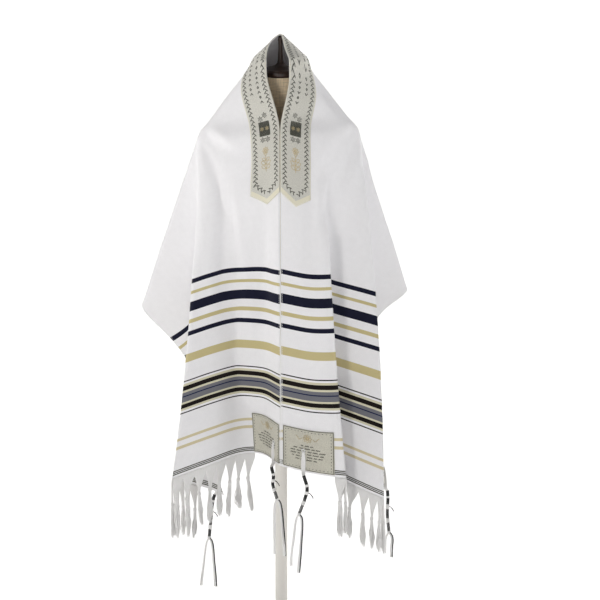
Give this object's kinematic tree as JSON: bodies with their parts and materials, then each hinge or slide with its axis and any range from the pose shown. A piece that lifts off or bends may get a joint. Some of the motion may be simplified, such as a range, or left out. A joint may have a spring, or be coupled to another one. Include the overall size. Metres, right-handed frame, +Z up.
{
  "type": "tallit prayer shawl on a limbless dress form with stand",
  "caption": "Striped white prayer shawl with knotted fringe, corner tassels and a woven neckband, worn as a hood over a limbless dress form on a round stand.",
  "frame": {"origin": "centre of the stand base's underside, on the floor", "axes": "+Z up, the shawl's open front faces -Y, the wearer's left is +X"},
  "size_m": [0.5782, 0.3874, 1.2971],
  "materials": {
    "white_cloth": "plain woven white cloth with dark and gold woven stripes",
    "woven_band": "silver-grey jacquard ribbon",
    "white_yarn": "twisted white yarn",
    "linen": "beige linen cover",
    "dark_wood": "dark stained, satin",
    "coated_steel": "off-white powder coat"
  },
  "bodies": {
    "root": {"shawl_cloth": "white_cloth", "neckband": "woven_band", "patch_front_left": "woven_band", "patch_front_right": "woven_band", "patch_rear_left": "woven_band", "patch_rear_right": "woven_band", "fringe_left": "white_yarn", "fringe_right": "white_yarn", "tassel_front_left": "white_yarn", "tassel_front_right": "white_yarn", "tassel_rear_left": "white_yarn", "tassel_rear_right": "white_yarn", "form_body": "linen", "form_neck_cap": "dark_wood", "stand_pole": "coated_steel", "stand_base": "coated_steel"}
  },
  "joints": []
}
